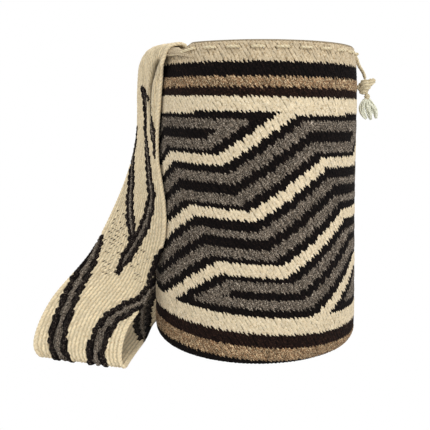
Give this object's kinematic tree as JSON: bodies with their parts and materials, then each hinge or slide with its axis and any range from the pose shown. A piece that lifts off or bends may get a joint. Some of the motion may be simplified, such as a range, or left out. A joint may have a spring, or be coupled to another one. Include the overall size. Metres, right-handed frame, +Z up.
{
  "type": "crocheted bucket bag",
  "caption": "Crocheted wool bucket bag standing on a flat round base, open at the top, with a zigzag pattern, a wide woven shoulder band, a drawstring through eyelets and a small tassel",
  "frame": {"origin": "middle of the bag's flat round base, on the surface that it stands on", "axes": "+Z up, +X to the right of the bag seen from its front, the front towards -Y"},
  "size_m": [0.3429, 0.2659, 0.3066],
  "materials": {
    "crocheted_wool": "matt crocheted wool in cream, black, dark brown, grey and tan bands",
    "woven_band": "matt cream wool band, finger-woven, with black and grey chevrons",
    "sewing_yarn": "cream wool yarn",
    "cord_yarn": "beige twisted wool cord",
    "fleece": "pale unspun fleece"
  },
  "bodies": {
    "root": {"bag_body": "crocheted_wool", "strap": "woven_band", "left_strap_seam": "sewing_yarn", "right_strap_seam": "sewing_yarn", "drawstring": "cord_yarn", "drawstring_knot": "cord_yarn", "tassel_bead": "cord_yarn", "tassel_lock_1": "fleece", "tassel_lock_2": "fleece", "tassel_lock_3": "fleece"}
  },
  "joints": []
}
